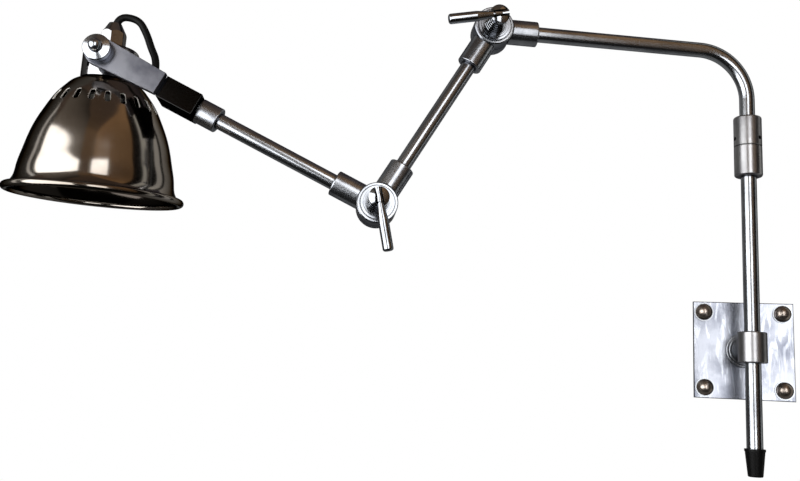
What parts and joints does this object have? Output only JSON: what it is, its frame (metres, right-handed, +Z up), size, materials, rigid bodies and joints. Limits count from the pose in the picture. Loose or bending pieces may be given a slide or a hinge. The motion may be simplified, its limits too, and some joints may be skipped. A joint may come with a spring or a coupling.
{
  "type": "articulating wall lamp",
  "caption": "Wall lamp on a square plate: a sliding pole, a swivelling bent arm, lever-clamped elbows and a vented bell shade on a tilting bar.",
  "frame": {"origin": "centre of the wall plate's back face, on the wall", "axes": "+Y into the wall, +Z up along the pole, +X along the wall to the right as seen by someone facing it"},
  "size_m": [0.7385, 0.3751, 0.4399],
  "materials": {
    "polished_nickel": "polished nickel plate",
    "zinc_steel": "zinc plated",
    "dark_pewter": "dark polished nickel",
    "blackened_steel": "blackened",
    "black_plastic": "matt moulded",
    "brass": "machined",
    "cast_aluminium": "polished",
    "fibre_washer": "pressed fibre",
    "dark_block": "dark polished",
    "brushed_aluminium": "satin brushed",
    "dark_nickel": "dark mirror plate on spun aluminium",
    "bakelite": "moulded",
    "lamp_glass": "frosted",
    "black_cord": "smooth sheath"
  },
  "bodies": {
    "wall_bracket": {"wall_plate": "polished_nickel", "wall_studs": "zinc_steel", "plate_washers": "polished_nickel", "dome_nuts": "dark_pewter", "bracket_flange": "polished_nickel", "bracket_stem": "polished_nickel", "stem_bolt": "zinc_steel", "pole_collar": "polished_nickel", "collar_set_screw": "blackened_steel"},
    "pole": {"pole_tube": "polished_nickel", "end_gland": "black_plastic", "lower_barrel": "polished_nickel", "swivel_spigot": "brass", "swivel_washer": "brass"},
    "upper_arm": {"upper_barrel": "polished_nickel", "swivel_set_screws": "blackened_steel", "upper_tube": "polished_nickel", "upper_rear_knuckle": "cast_aluminium", "upper_pivot_bolt": "zinc_steel", "upper_friction_washer": "fibre_washer"},
    "upper_clamp": {"upper_clamp_nut": "polished_nickel", "upper_clamp_lever": "polished_nickel"},
    "middle_arm": {"upper_front_knuckle": "cast_aluminium", "upper_ring_washer": "polished_nickel", "middle_tube": "polished_nickel", "lower_rear_knuckle": "cast_aluminium", "lower_pivot_bolt": "zinc_steel", "lower_friction_washer": "fibre_washer"},
    "lower_clamp": {"lower_clamp_nut": "polished_nickel", "lower_clamp_lever": "polished_nickel"},
    "lower_arm": {"lower_front_knuckle": "cast_aluminium", "lower_ring_washer": "polished_nickel", "lower_tube": "polished_nickel", "end_ferrule": "polished_nickel", "end_block": "dark_block", "head_bar": "brushed_aluminium", "bar_screws": "blackened_steel", "cord_bush": "black_plastic"},
    "head": {"neck_cap": "dark_nickel", "pivot_boss": "dark_nickel", "pivot_washer": "fibre_washer", "pivot_bolt": "zinc_steel", "shade": "dark_nickel", "cord_grip": "dark_nickel", "threaded_nipple": "zinc_steel", "lampholder": "bakelite", "shade_ring": "bakelite", "bulb_cap": "zinc_steel", "bulb_glass": "lamp_glass", "head_cord": "black_cord"},
    "pivot_knob": {"pivot_knob": "polished_nickel"}
  },
  "joints": [
    {"name": "height_slide", "type": "slide", "parent": "wall_bracket", "child": "pole", "axis": [0, 0, 1], "range_m": [-0.14, 0.075]},
    {"name": "arm_swivel", "type": "hinge", "parent": "pole", "child": "upper_arm", "pos_m": [0, -0.072, 0.2], "axis": [0, 0, 1], "range_deg": [-14, 150]},
    {"name": "upper_elbow", "type": "hinge", "parent": "upper_arm", "child": "middle_arm", "pos_m": [-0.25179, -0.1587, 0.3], "axis": [0.3256, -0.9455, 0], "range_deg": [-120, 35]},
    {"name": "lower_elbow", "type": "hinge", "parent": "middle_arm", "child": "lower_arm", "pos_m": [-0.35044, -0.19267, 0.11407], "axis": [-0.3256, 0.9455, 0], "range_deg": [-140, 12]},
    {"name": "head_tilt", "type": "hinge", "parent": "lower_arm", "child": "head", "pos_m": [-0.59761, -0.27777, 0.23376], "axis": [0.3256, -0.9455, 0], "range_deg": [-110, 1.5], "deforming": ["head_cord"]},
    {"name": "upper_clamp_turn", "type": "hinge", "parent": "upper_arm", "child": "upper_clamp", "pos_m": [-0.25179, -0.1587, 0.3], "axis": [0.3256, -0.9455, 0], "range_deg": [-20, 110]},
    {"name": "lower_clamp_turn", "type": "hinge", "parent": "middle_arm", "child": "lower_clamp", "pos_m": [-0.35044, -0.19267, 0.11407], "axis": [0.3256, -0.9455, 0], "range_deg": [-20, 110]},
    {"name": "knob_turn", "type": "hinge", "parent": "head", "child": "pivot_knob", "pos_m": [-0.59761, -0.27777, 0.23376], "axis": [0.3256, -0.9455, 0], "range_deg": [-180, 180]}
  ]
}
